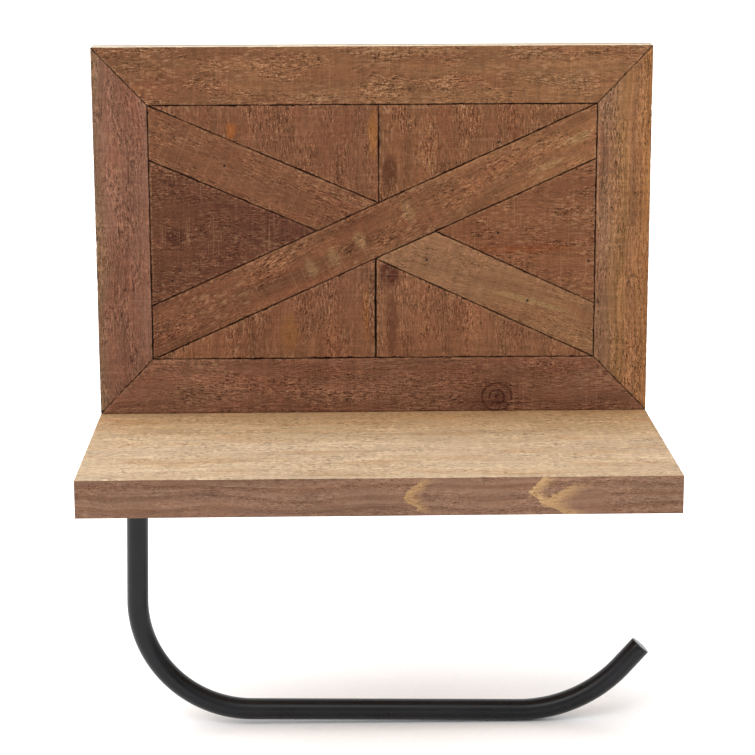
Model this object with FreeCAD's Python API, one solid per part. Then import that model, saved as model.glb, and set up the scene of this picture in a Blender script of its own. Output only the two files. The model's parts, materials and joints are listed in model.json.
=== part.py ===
import FreeCAD, Part
import math
import os
from collections import namedtuple

from FreeCAD import Vector

# Toilet paper holder: a barn-door panel standing on a thick shelf, with a bent steel bar under the shelf.
# Millimetres. +X is to the right, +Z up, and the front faces -Y. The wall is the plane y = 0.
# The origin lies on the wall, midway between the two keyholes that the holder hangs from.

# Overall sizes
panel_width = 280.0  # panel and shelf, left to right
panel_height = 186.5  # panel, above the shelf
plank_thickness = 10.0  # frame boards, braces and infill
backing_thickness = 5.0  # plywood that the planks are glued to
shelf_reach = 132.3  # shelf's front edge, forward of the panel's face
shelf_thickness = 18.2

# Barn-door pattern
stile_width = 27.2
top_rail_width = 28.7
bottom_rail_width = 28.1
brace_width = 25.2
upper_seam_shift = 2.8  # seam above the long brace, right of centre
lower_seam_shift = 1.2  # seam below the long brace, right of centre
mitre_gap = 0.3
plank_gap = 0.5
lower_seam_gap = 0.9

# Brads through the planks, as shares of the frame opening's width and height from its lower left corner
brad_diameter = 1.3
brad_sink = 0.4  # below the face
brad_bite = 4.0  # into the backing
brad_places = [
    (0.170, 0.764),
    (0.620, 0.391),
    (0.848, 0.226),
    (0.535, 0.326),
    (0.985, 0.382),
    (0.780, 0.850),
    (0.780, 0.495),
]

# Bent bar, as its cut list: straight lengths, and radius and angle of each bend on the centreline
bar_diameter = 10.6
bar_inset = 22.9  # leg's centre from the shelf's left end, at the shelf's underside
leg_lean = 1.27  # degrees out of plumb, foot outwards
leg_length = 62.5
main_bend_radius = 56.7
main_bend_angle = 90.43
roll_length = 133.4
curl_radius = 67.7
curl_angle = 49.35
tail_length = 14.2
bar_tip_chamfer = 0.6

# Plate welded to the bar's top, screwed under the shelf
bar_plate_width = 36.0
bar_plate_depth = 56.0
bar_plate_thickness = 3.0
bar_plate_corner = 5.0
bar_plate_hole_inset = 7.5  # hole centres from the plate's edges
weld_leg = 3.0
weld_toe = 0.4  # thickness left at the weld's lower edge

# Screws: shank diameter, head diameter, and how far each bites into the last piece
plate_screw_diameter = 3.5
plate_screw_head = 7.0
plate_screw_head_height = 2.3
plate_screw_bite = 13.0
shelf_screw_diameter = 4.0
shelf_screw_head = 8.0
shelf_screw_bite = 21.5
shelf_screw_count = 3
shelf_screw_margin = 40.0  # outer screws from the panel's ends
keyhole_screw_diameter = 3.0
keyhole_screw_head = 5.6
keyhole_screw_bite = 6.0
screw_tip_taper = 1.6  # pointed tip's length over the shank's diameter
screw_hole_clearance = 0.2  # on the radius, through metal plates
cross_recess_width = 0.9
cross_recess_depth = 1.2

# Keyhole hanger plates, let in flush behind the stiles
keyhole_drop = 50.0  # entry holes' centres below the panel's top edge, clear of the mitres
keyhole_entry_diameter = 9.2
keyhole_slot_width = 4.8
keyhole_travel = 11.0  # from the entry hole up to where the wall screw rests
keyhole_plate_width = 16.0
keyhole_plate_length = 42.0
keyhole_plate_thickness = 1.5
keyhole_plate_corner = 3.0
keyhole_plate_screw_inset = 5.5
keyhole_recess_clearance = 0.1
keyhole_head_room = 0.6  # round the wall screw's head, on the radius

# Worked out from the above
panel_thickness = plank_thickness + backing_thickness
shelf_depth = shelf_reach + panel_thickness
panel_top = keyhole_drop
shelf_top = panel_top - panel_height
shelf_bottom = shelf_top - shelf_thickness
half_width = panel_width / 2
inner_left = -half_width + stile_width
inner_right = half_width - stile_width
inner_top = panel_top - top_rail_width
inner_bottom = shelf_top + bottom_rail_width
brace_run = inner_right - inner_left
brace_rise = inner_top - inner_bottom
bar_radius = bar_diameter / 2
bar_y = -shelf_depth / 2
bar_x = -half_width + bar_inset
plate_bottom = shelf_bottom - bar_plate_thickness
keyhole_x = half_width - stile_width / 2
keyhole_plate_centre = keyhole_travel / 2 - (keyhole_entry_diameter - keyhole_slot_width) / 4
far = 2 * (panel_width + panel_height)

Line = namedtuple("Line", "x z heading")  # a line in the panel's face: a point, and degrees from +X


def block(x0, x1, y0, y1, z0, z1):
    return Part.makeBox(x1 - x0, y1 - y0, z1 - z0, Vector(x0, y0, z0))


def left_of(line, gap):
    """Everything in the panel on the left of a line, less half of a joint's gap."""
    side = block(-far, far, -far, far, gap / 2, far)
    side.rotate(Vector(0, 0, 0), Vector(0, 1, 0), -line.heading)
    side.translate(Vector(line.x, 0, line.z))
    return side


def right_of(line, gap):
    return left_of(Line(line.x, line.z, line.heading + 180), gap)


def within(shape, sides):
    """What is left of a shape on the kept side of every line."""
    for side in sides:
        shape = shape.common(side)
    return shape


def line_between(x0, z0, x1, z1):
    return Line(x0, z0, math.degrees(math.atan2(z1 - z0, x1 - x0)))


def parallel(line, distance):
    """The line moved to its left."""
    turn = math.radians(line.heading + 90)
    return Line(line.x + distance * math.cos(turn), line.z + distance * math.sin(turn), line.heading)


def height_on(line, x):
    return line.z + (x - line.x) * math.tan(math.radians(line.heading))


def upright(x):
    return Line(x, 0, 90)


def brace_heading():
    """Slope of a brace whose edges run through opposite corners of the opening."""
    diagonal = math.hypot(brace_run, brace_rise)
    return math.degrees(math.atan2(brace_rise, brace_run) - math.asin(brace_width / diagonal))


def plank_block(x0, x1, z0, z1):
    return block(x0, x1, -panel_thickness, -backing_thickness, z0, z1)


def frame_boards():
    """Two rails and two stiles, mitred along the lines between the outer and inner corners."""
    top_left = line_between(-half_width, panel_top, inner_left, inner_top)
    top_right = line_between(half_width, panel_top, inner_right, inner_top)
    bottom_left = line_between(-half_width, shelf_top, inner_left, inner_bottom)
    bottom_right = line_between(half_width, shelf_top, inner_right, inner_bottom)
    top = plank_block(-half_width, half_width, inner_top, panel_top)
    right = plank_block(inner_right, half_width, shelf_top, panel_top)
    bottom = plank_block(-half_width, half_width, shelf_top, inner_bottom)
    left = plank_block(-half_width, inner_left, shelf_top, panel_top)
    strips = [
        ("top_rail", top, top_left, top_right),
        ("right_stile", right, top_right, bottom_right),
        ("bottom_rail", bottom, bottom_right, bottom_left),
        ("left_stile", left, bottom_left, top_left),
    ]
    return {
        name: within(strip, [left_of(first, mitre_gap), right_of(second, mitre_gap)])
        for name, strip, first, second in strips
    }


def brace_lines():
    """Edges of the long brace and of the two half braces that butt against it."""
    heading = brace_heading()
    long_top = Line(inner_right, inner_top, heading)
    long_bottom = Line(inner_left, inner_bottom, heading)
    upper_x = upper_seam_shift
    lower_x = lower_seam_shift
    upper_top = line_between(inner_left, inner_top, upper_x, height_on(long_top, upper_x))
    lower_bottom = line_between(lower_x, height_on(long_bottom, lower_x), inner_right, inner_bottom)
    return {
        "long_top": long_top,
        "long_bottom": long_bottom,
        "upper_top": upper_top,
        "upper_bottom": parallel(upper_top, -brace_width),
        "lower_top": parallel(lower_bottom, brace_width),
        "lower_bottom": lower_bottom,
    }


def opening_block():
    return plank_block(
        inner_left + plank_gap, inner_right - plank_gap, inner_bottom + plank_gap, inner_top - plank_gap
    )


def planks():
    """The X brace and the six infill planks between its arms."""
    edge = brace_lines()
    above_long = left_of(edge["long_top"], plank_gap)
    below_long = right_of(edge["long_bottom"], plank_gap)
    sides = {
        "long_brace": [right_of(edge["long_top"], plank_gap), left_of(edge["long_bottom"], plank_gap)],
        "upper_half_brace": [
            above_long,
            right_of(edge["upper_top"], plank_gap),
            left_of(edge["upper_bottom"], plank_gap),
        ],
        "lower_half_brace": [
            below_long,
            right_of(edge["lower_top"], plank_gap),
            left_of(edge["lower_bottom"], plank_gap),
        ],
        "infill_top_left": [
            left_of(edge["upper_top"], plank_gap),
            left_of(upright(upper_seam_shift), plank_gap),
        ],
        "infill_top_right": [above_long, right_of(upright(upper_seam_shift), plank_gap)],
        "infill_left": [above_long, right_of(edge["upper_bottom"], plank_gap)],
        "infill_right": [below_long, left_of(edge["lower_top"], plank_gap)],
        "infill_bottom_left": [below_long, left_of(upright(lower_seam_shift), lower_seam_gap)],
        "infill_bottom_right": [
            right_of(edge["lower_bottom"], plank_gap),
            right_of(upright(lower_seam_shift), lower_seam_gap),
        ],
    }
    return {name: within(opening_block(), limits) for name, limits in sides.items()}


def brads():
    """Headless pins set below the face, through a plank and into the backing."""
    pins = []
    for along, up in brad_places:
        start = Vector(
            inner_left + along * brace_run, -panel_thickness + brad_sink, inner_bottom + up * brace_rise
        )
        length = plank_thickness - brad_sink + brad_bite
        pins.append(Part.makeCylinder(brad_diameter / 2, length, start, Vector(0, 1, 0)))
    return pins


def brad_holes():
    """The brads' holes, open at the face."""
    holes = []
    for pin in brads():
        mouth = pin.copy()
        mouth.translate(Vector(0, -brad_sink, 0))
        holes.append(pin.fuse(mouth))
    return holes


def cross_recess(top, across):
    """Cross-shaped driver recess, cut down from a head's top at z."""
    half = across / 2
    slit = cross_recess_width / 2
    one = block(-half, half, -slit, slit, top - cross_recess_depth, top)
    other = block(-slit, slit, -half, half, top - cross_recess_depth, top)
    return one.fuse(other)


def pointed_shank(diameter, length):
    """Screw shank hanging down from z = 0, with a cone for its tip."""
    radius = diameter / 2
    tip = diameter * screw_tip_taper
    straight = Part.makeCylinder(radius, length - tip, Vector(0, 0, -(length - tip)))
    cone = Part.makeCone(0, radius, tip, Vector(0, 0, -length))
    return straight.fuse(cone)


def countersunk_screw(diameter, head, length, recess=True):
    """Flat-head screw pointing down, with its head's top at z = 0."""
    depth = (head - diameter) / 2
    cone = Part.makeCone(diameter / 2, head / 2, depth, Vector(0, 0, -depth))
    shank = pointed_shank(diameter, length)
    screw = cone.fuse(shank).removeSplitter()
    if recess:
        screw = screw.cut(cross_recess(0, head * 0.6))
    return screw


def pan_screw(diameter, head, head_height, length, recess=True):
    """Pan-head screw pointing down, with the underside of its head at z = 0."""
    cap = Part.makeCylinder(head / 2, head_height)
    cap = cap.makeFillet(head_height * 0.6, [cap.Edges[0]])
    screw = cap.fuse(pointed_shank(diameter, length)).removeSplitter()
    if recess:
        screw = screw.cut(cross_recess(head_height, head * 0.6))
    return screw


def pointing_up(screw, x, y, z):
    screw.rotate(Vector(0, 0, 0), Vector(1, 0, 0), 180)
    screw.translate(Vector(x, y, z))
    return screw


def pointing_forward(screw, x, y, z):
    """Turned so that its head's top faces the wall."""
    screw.rotate(Vector(0, 0, 0), Vector(1, 0, 0), -90)
    screw.translate(Vector(x, y, z))
    return screw


def shelf_screws(recess=True):
    """Up through the shelf into the bottom rail's lower edge."""
    first = -half_width + shelf_screw_margin
    step = (panel_width - 2 * shelf_screw_margin) / (shelf_screw_count - 1)
    y = -backing_thickness - plank_thickness / 2
    length = shelf_thickness + shelf_screw_bite
    return [
        pointing_up(
            countersunk_screw(shelf_screw_diameter, shelf_screw_head, length, recess),
            first + i * step,
            y,
            shelf_bottom,
        )
        for i in range(shelf_screw_count)
    ]


def plate_hole_places():
    """Corners of the bar plate's hole pattern."""
    dx = bar_plate_width / 2 - bar_plate_hole_inset
    dy = bar_plate_depth / 2 - bar_plate_hole_inset
    return [(bar_x + i * dx, bar_y + j * dy) for i in (-1, 1) for j in (-1, 1)]


def plate_screws(recess=True):
    """Up through the bar plate into the shelf."""
    length = bar_plate_thickness + plate_screw_bite
    return [
        pointing_up(
            pan_screw(plate_screw_diameter, plate_screw_head, plate_screw_head_height, length, recess),
            x,
            y,
            plate_bottom,
        )
        for x, y in plate_hole_places()
    ]


def keyhole_screw_heights():
    reach = keyhole_plate_length / 2 - keyhole_plate_screw_inset
    return [keyhole_plate_centre - reach, keyhole_plate_centre + reach]


def keyhole_screws(recess=True):
    """Through each keyhole plate and the backing into the stile."""
    length = backing_thickness + keyhole_screw_bite
    return [
        pointing_forward(
            countersunk_screw(keyhole_screw_diameter, keyhole_screw_head, length, recess), x, 0, z
        )
        for x in (-keyhole_x, keyhole_x)
        for z in keyhole_screw_heights()
    ]


def rounded_plate(width, length, thickness, corner):
    """Plate in the XZ plane, centred on the origin, with its back on y = 0."""
    plate = block(-width / 2, width / 2, -thickness, 0, -length / 2, length / 2)
    uprights = [e for e in plate.Edges if abs(e.tangentAt(e.FirstParameter).y) > 0.99]
    return plate.makeFillet(corner, uprights)


def keyhole_cut(entry_radius, slot_radius, y0, y1):
    """Round entry with a slot running up from it, around the entry hole's centre."""
    forward = Vector(0, 1, 0)
    entry = Part.makeCylinder(entry_radius, y1 - y0, Vector(0, y0, 0), forward)
    end = Part.makeCylinder(slot_radius, y1 - y0, Vector(0, y0, keyhole_travel), forward)
    slot = block(-slot_radius, slot_radius, y0, y1, 0, keyhole_travel)
    return entry.fuse([end, slot]).removeSplitter()


def keyhole_plate(x):
    """Steel plate with the keyhole and two countersunk holes, its back flush with the wall plane."""
    plate = rounded_plate(
        keyhole_plate_width, keyhole_plate_length, keyhole_plate_thickness, keyhole_plate_corner
    )
    plate.translate(Vector(0, 0, keyhole_plate_centre))
    plate = plate.cut(
        keyhole_cut(keyhole_entry_diameter / 2, keyhole_slot_width / 2, -keyhole_plate_thickness, 0)
    )
    plate.translate(Vector(x, 0, 0))
    return plate.cut(keyhole_screws(recess=False))


def backing_board():
    """Plywood behind all the planks, let in for the keyhole plates and cut through for the wall screws."""
    board = block(-half_width, half_width, -backing_thickness, 0, shelf_top, panel_top)
    clearance = keyhole_recess_clearance
    room = keyhole_entry_diameter / 2 + keyhole_head_room
    for x in (-keyhole_x, keyhole_x):
        recess = rounded_plate(
            keyhole_plate_width + 2 * clearance,
            keyhole_plate_length + 2 * clearance,
            keyhole_plate_thickness,
            keyhole_plate_corner + clearance,
        )
        recess.translate(Vector(x, 0, keyhole_plate_centre))
        pocket = keyhole_cut(room, room, -backing_thickness, 0)
        pocket.translate(Vector(x, 0, 0))
        board = board.cut(recess).cut(pocket)
    return board.cut(keyhole_screws(recess=False) + brads())


def shelf_board():
    board = block(-half_width, half_width, -shelf_depth, 0, shelf_bottom, shelf_top)
    return board.cut(shelf_screws(recess=False) + plate_screws(recess=False))


def straight(place, heading, length):
    """A straight of the bar, and where it ends. Headings are degrees from +X in the XZ plane."""
    turn = math.radians(heading)
    way = Vector(math.cos(turn), 0, math.sin(turn))
    return Part.makeCylinder(bar_radius, length, place, way), place + way * length


def bend(place, heading, radius, angle):
    """A bend to the left, with where it ends and its new heading."""
    turn = math.radians(heading)
    way = Vector(math.cos(turn), 0, math.sin(turn))
    centre = place + Vector(-math.sin(turn), 0, math.cos(turn)) * radius
    section = Part.Face(Part.Wire(Part.Circle(place, way, bar_radius).toShape()))
    piece = section.revolve(centre, Vector(0, -1, 0), angle)
    swing = FreeCAD.Rotation(Vector(0, -1, 0), angle)
    return piece, centre + swing.multVec(place - centre), heading + angle


def bar_leg():
    """The leg's straight, from above the shelf's underside, so that the plate's top face can trim it."""
    heading = -90 - leg_lean
    turn = math.radians(heading)
    way = Vector(math.cos(turn), 0, math.sin(turn))
    start = Vector(bar_x, bar_y, shelf_bottom)
    leg, end = straight(start - way * bar_diameter, heading, leg_length + bar_diameter)
    return leg, end, heading


def roll_bar():
    """Leg, main bend, the straight that carries the roll, and the curled end."""
    leg, place, heading = bar_leg()
    pieces = [leg]
    piece, place, heading = bend(place, heading, main_bend_radius, main_bend_angle)
    pieces.append(piece)
    piece, place = straight(place, heading, roll_length)
    pieces.append(piece)
    piece, place, heading = bend(place, heading, curl_radius, curl_angle)
    pieces.append(piece)
    piece, place = straight(place, heading, tail_length)
    rims = [e for e in piece.Edges if len(e.Vertexes) == 1 and e.CenterOfMass.distanceToPoint(place) < 0.01]
    pieces.append(piece.makeChamfer(bar_tip_chamfer, rims))
    bar = pieces[0].fuse(pieces[1:]).removeSplitter()
    above = block(bar_x - far, bar_x + far, bar_y - far, bar_y + far, shelf_bottom, shelf_bottom + far)
    return bar.cut(above)


def bar_plate():
    """Flat plate under the shelf, bored for the leaning leg and drilled for four screws."""
    x = bar_plate_width / 2
    y = bar_plate_depth / 2
    plate = block(bar_x - x, bar_x + x, bar_y - y, bar_y + y, plate_bottom, shelf_bottom)
    uprights = [e for e in plate.Edges if abs(e.tangentAt(e.FirstParameter).z) > 0.99]
    plate = plate.makeFillet(bar_plate_corner, uprights)
    radius = plate_screw_diameter / 2 + screw_hole_clearance
    holes = [
        Part.makeCylinder(radius, bar_plate_thickness, Vector(hole_x, hole_y, plate_bottom))
        for hole_x, hole_y in plate_hole_places()
    ]
    return plate.cut(holes + [bar_leg()[0]])


def weld_bead():
    """Fillet weld round the leg, against the plate's underside."""
    foot = Vector(bar_x, bar_y, plate_bottom - weld_leg)
    bead = Part.makeCone(bar_radius + weld_toe, bar_radius + weld_leg, weld_leg, foot)
    return bead.cut(bar_leg()[0])


def one_solid(shape):
    """The shape's only solid."""
    if len(shape.Solids) != 1:
        raise ValueError(f"expected one solid, found {len(shape.Solids)}")
    return shape.Solids[0]


def all_nodes():
    """Every sub-part by name: a list of the separate solids that it holds."""
    holes = brad_holes()
    nodes = {}
    for name, board in frame_boards().items():
        cuts = keyhole_screws(recess=False) + shelf_screws(recess=False)
        nodes[name] = [one_solid(board.cut(cuts))]
    for name, plank in planks().items():
        nodes[name] = [one_solid(plank.cut(holes))]
    nodes["backing_board"] = [one_solid(backing_board())]
    nodes["shelf_board"] = [one_solid(shelf_board())]
    nodes["roll_bar"] = [one_solid(roll_bar())]
    nodes["bar_plate"] = [one_solid(bar_plate())]
    nodes["weld_bead"] = [one_solid(weld_bead())]
    nodes["keyhole_plate_left"] = [one_solid(keyhole_plate(-keyhole_x))]
    nodes["keyhole_plate_right"] = [one_solid(keyhole_plate(keyhole_x))]
    nodes["plate_screws"] = [one_solid(screw) for screw in plate_screws()]
    nodes["shelf_screws"] = [one_solid(screw) for screw in shelf_screws()]
    nodes["keyhole_screws"] = [one_solid(screw) for screw in keyhole_screws()]
    nodes["face_brads"] = [one_solid(pin) for pin in brads()]
    return nodes


os.makedirs("parts", exist_ok=True)
for node_name, solids in all_nodes().items():
    Part.makeCompound(solids).exportStep(f"parts/{node_name}.step")
    print(node_name, len(solids), round(sum(s.Volume for s in solids), 1))
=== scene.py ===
"""Wall-hung toilet paper holder: a barn-door panel on a deep shelf, with a bent steel bar for the roll.

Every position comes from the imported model. Sizes written in the classes are millimetres, and a board is
worked in its own axes in millimetres before its mesh is turned into the holder's frame, in metres.
"""

import json
import logging
import math
from dataclasses import dataclass, field
from enum import Enum

import bmesh
import bpy
from bmesh.types import BMEdge, BMesh, BMFace, BMVert
from bpy.types import Material, Node, NodeSocket, NodeTree, Object
from mathutils import Matrix, Vector, geometry, noise


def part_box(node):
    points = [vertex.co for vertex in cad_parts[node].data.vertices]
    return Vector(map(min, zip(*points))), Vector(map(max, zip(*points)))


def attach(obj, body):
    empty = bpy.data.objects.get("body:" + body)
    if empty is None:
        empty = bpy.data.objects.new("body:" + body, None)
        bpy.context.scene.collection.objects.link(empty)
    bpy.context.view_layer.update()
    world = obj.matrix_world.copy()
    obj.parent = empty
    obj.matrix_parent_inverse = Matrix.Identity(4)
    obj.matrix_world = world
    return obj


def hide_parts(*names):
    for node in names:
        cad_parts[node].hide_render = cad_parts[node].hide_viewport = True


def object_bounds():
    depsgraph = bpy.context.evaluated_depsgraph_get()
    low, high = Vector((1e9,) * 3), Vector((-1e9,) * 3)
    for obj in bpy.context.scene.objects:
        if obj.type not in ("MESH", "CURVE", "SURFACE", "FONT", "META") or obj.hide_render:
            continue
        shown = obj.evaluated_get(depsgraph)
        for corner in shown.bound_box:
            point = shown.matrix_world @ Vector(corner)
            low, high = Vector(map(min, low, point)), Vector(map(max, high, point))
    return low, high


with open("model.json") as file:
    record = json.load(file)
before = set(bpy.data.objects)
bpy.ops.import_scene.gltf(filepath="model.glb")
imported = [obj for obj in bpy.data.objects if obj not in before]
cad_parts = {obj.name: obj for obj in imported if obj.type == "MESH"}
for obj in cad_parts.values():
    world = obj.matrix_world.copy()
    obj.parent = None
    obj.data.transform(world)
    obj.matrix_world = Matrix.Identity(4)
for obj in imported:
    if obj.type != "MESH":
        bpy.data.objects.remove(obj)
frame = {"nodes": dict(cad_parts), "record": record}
CAD_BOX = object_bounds()

MM = 0.001
BODY = "root"
LOG = logging.getLogger("holder")

# How the boards are worked at their arrises, seams and nails, in mm.
WORKED_EDGE = 2.4  # how far in from its sides a board is ragged
ARRIS_WIDTH = 0.8  # the strip beside a side that drops to the arris
RIM = 0.2  # the outermost strip of the show face
RIM_DROP = 0.3  # the most that the rim drops
TOP_LAYER = 0.01  # what still counts as the show face
SEAM_SHADE_REACH = 0.1  # how far in from a seam the painted gap shade reaches
SEAM_FUZZ = 1.1  # how far in from a seam pale fibres stand up
NAIL_HOLE = 0.7  # radius of a sunk brad's hole
NAIL_FLARE = 1.2  # radius at which the hole meets the face
NAIL_SINK = 0.55  # how deep a brad is set

# How the saw leaves a board's sides, in mm.
WAVE_LENGTH = 13.0  # the slow wave of a side
WAVE_DEPTH = 0.20
OUTER_WAVE = 0.35  # the share of it on the holder's own outline
JAG_LENGTH = 1.1  # the fine jag of an arris
JAG_DEPTH = 0.09
JAG_DEPTH_ACROSS = 0.13  # what a cut across the grain adds to it
CHIP_LENGTH = 4.5  # a chip out of an arris
CHIP_LENGTH_ACROSS = 2.6  # what a cut across the grain takes off it
CHIP_DEPTH = 0.55
CHIP_DEPTH_ACROSS = 0.6  # what a cut across the grain adds to it
CHIP_FROM = 0.20  # noise above this chips the arris
ARRIS_FADE = 1.1  # the depth over which jags and chips die away
OUTER_SET_IN = 0.05  # how far outer sides sit in
SEAM_SET_IN = -0.02  # how far inner sides sit in, before the wave
SEAM_CLOSEST = -0.13  # how far inner sides may close up on each other

# How the saw leaves a board's show face, in mm.
SAW_PITCH = 1.9  # spacing of the crosswise saw marks
SAW_RUN = 30.0  # how long one mark runs
SAW_DEPTH = 0.06
FURROW_PITCH = 1.1  # spacing of the furrows along the grain
FURROW_RUN = 24.0  # how long one furrow, or one rough patch, runs
FURROW_DEPTH = 0.09
ROUGH_WIDTH = 11.0  # width of a rough patch
TEAR_RUN = 3.4  # length of one torn place
TEAR_WIDTH = 0.8
TEAR_DEPTH = 0.3
TEAR_FROM = 0.18  # noise above this tears the grain
TEAR_GAIN = 7.0  # how quickly a tear opens up
FACE_DROP = 0.14  # how far the middle of the sawn face lies below the clean solid
NodeInput = Node | NodeSocket | float | tuple


def linear(colour: str) -> tuple[float, float, float, float]:
    """Turns an sRGB hex colour into linear RGBA.

    Args:
        colour: "#rrggbb".

    Returns:
        Linear red, green and blue with an alpha of 1.
    """
    parts = [int(colour[i : i + 2], 16) / 255 for i in (1, 3, 5)]
    red, green, blue = [c / 12.92 if c <= 0.04045 else ((c + 0.055) / 1.055) ** 2.4 for c in parts]
    return red, green, blue, 1.0


def add_node(
    tree: NodeTree,
    kind: str,
    inputs: dict[str, NodeInput] | None = None,
    stops: list[tuple[float, str]] | None = None,
    **settings: object,
) -> Node:
    """Adds one node with its settings and links.

    Args:
        tree: The node tree that gets it.
        kind: Blender's type name for the node, without the "ShaderNode" that all of them start with.
        inputs: A value, a socket, or a node whose first live output is used, by the input's name.
        stops: Position and sRGB hex colour of each stop, for a colour ramp.
        settings: The node's own properties.

    Returns:
        The new node.
    """
    made = tree.nodes.new("ShaderNode" + kind)
    for name, value in settings.items():
        setattr(made, name, value)
    for name, value in (inputs or {}).items():
        socket = next(s for s in made.inputs if s.enabled and name in (s.name, s.identifier))
        if isinstance(value, Node):
            value = next(o for o in value.outputs if o.enabled)
        if isinstance(value, NodeSocket):
            tree.links.new(value, socket)
        else:
            socket.default_value = value
    if stops:
        ramp = made.color_ramp.elements
        while len(ramp) < len(stops):
            ramp.new(0.5)
        for element, (position, colour) in zip(ramp, stops):
            element.position = position
            element.color = linear(colour)
    return made


def new_material(name: str) -> Material:
    """Makes a node material with no nodes in it.

    Args:
        name: Its name.

    Returns:
        The material.
    """
    material = bpy.data.materials.new(name)
    material.use_nodes = True
    material.node_tree.nodes.clear()
    return material


def finish_material(material: Material, shader: Node) -> Material:
    """Joins a shader to the material's output and returns the material."""
    add_node(material.node_tree, "OutputMaterial", {"Surface": shader})
    return material


class ShowFace(Enum):
    """Which way a board's show face looks."""

    FRONT = "front"
    TOP = "top"


@dataclass(frozen=True)
class Placement:
    """A board's own axes: u along the grain, v across it, and w out of its show face, in mm.

    Attributes:
        centre: Where the axes start, in the holder's frame, in metres.
        turn: The axes' directions, as a matrix's columns.
    """

    centre: Vector
    turn: Matrix

    @classmethod
    def of_face(cls, face: ShowFace, centre: Vector, grain: float) -> "Placement":
        """Sets the axes on a face.

        Args:
            face: The way the face looks.
            centre: The face's middle, in metres.
            grain: The grain's angle from level, in degrees.

        Returns:
            The board's axes.
        """
        cos, sin = math.cos(math.radians(grain)), math.sin(math.radians(grain))
        if face is ShowFace.FRONT:
            columns = (Vector((cos, 0, sin)), Vector((-sin, 0, cos)), Vector((0, -1, 0)))
        else:
            columns = (Vector((cos, sin, 0)), Vector((-sin, cos, 0)), Vector((0, 0, 1)))
        return cls(centre, Matrix(columns).transposed())

    def matrix(self) -> Matrix:
        """Takes a point in the board's millimetres to the holder's frame in metres."""
        return Matrix.Translation(self.centre) @ self.turn.to_4x4() @ Matrix.Scale(MM, 4)

    def local(self, point: Vector) -> Vector:
        """Takes a point in metres to the board's own millimetres."""
        return self.turn.transposed() @ (point - self.centre) / MM

    def coordinates(self, tree: NodeTree) -> Node:
        """Adds the nodes that give a shader the board's own millimetres.

        Args:
            tree: The material's nodes.

        Returns:
            The node whose output is the place on the board.
        """
        back = self.turn.transposed()
        spot = add_node(tree, "TexCoord")
        return add_node(
            tree,
            "Mapping",
            {
                "Vector": spot.outputs["Object"],
                "Location": back @ self.centre / -MM,
                "Rotation": back.to_euler("XYZ"),
                "Scale": (1 / MM, 1 / MM, 1 / MM),
            },
        )


@dataclass(frozen=True)
class Mark:
    """Something in the wood that stands out, at a share of its board's width and height.

    Attributes:
        along: How far from the board's left end to its right end, 0 to 1.
        up: How far from its lower edge to its upper edge, or from front to back on the shelf's top.
    """

    along: float
    up: float

    def spot(self, node: str, face: ShowFace) -> Vector:
        """Finds the mark's place from the board's box.

        Args:
            node: The board's CAD node.
            face: The way the board's show face looks.

        Returns:
            The place in the holder's frame, in metres.
        """
        low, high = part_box(node)
        across = low.x + self.along * (high.x - low.x)
        if face is ShowFace.TOP:
            return Vector((across, low.y + self.up * (high.y - low.y), high.z))
        return Vector((across, low.y, low.z + self.up * (high.z - low.z)))


@dataclass(frozen=True)
class Streak(Mark):
    """A resin, bark or sapwood streak with a frayed edge, lying along the grain.

    Attributes:
        length, width: Its half sizes along and across the grain, in mm.
        colour: Its tone, as sRGB hex.
        strength: How much of that tone it takes.
    """

    length: float
    width: float
    colour: str
    strength: float = 0.7


@dataclass(frozen=True)
class Knot(Mark):
    """A knot: rings round a dark heart, with stained wood about it.

    Attributes:
        radius: The outer ring's radius, in mm.
        ring: Ring spacing, in mm.
        colour: The rings' tone, as sRGB hex.
    """

    radius: float
    ring: float
    colour: str


@dataclass(frozen=True)
class Flame(Mark):
    """The pointed end of a pale growth ring: crisp on its left and fading to its right.

    Attributes:
        opening: How much longer it gets per mm away from its point.
        fade: How far it takes to fade, in mm.
        colour: Its tone, as sRGB hex.
    """

    opening: float
    fade: float
    colour: str


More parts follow.
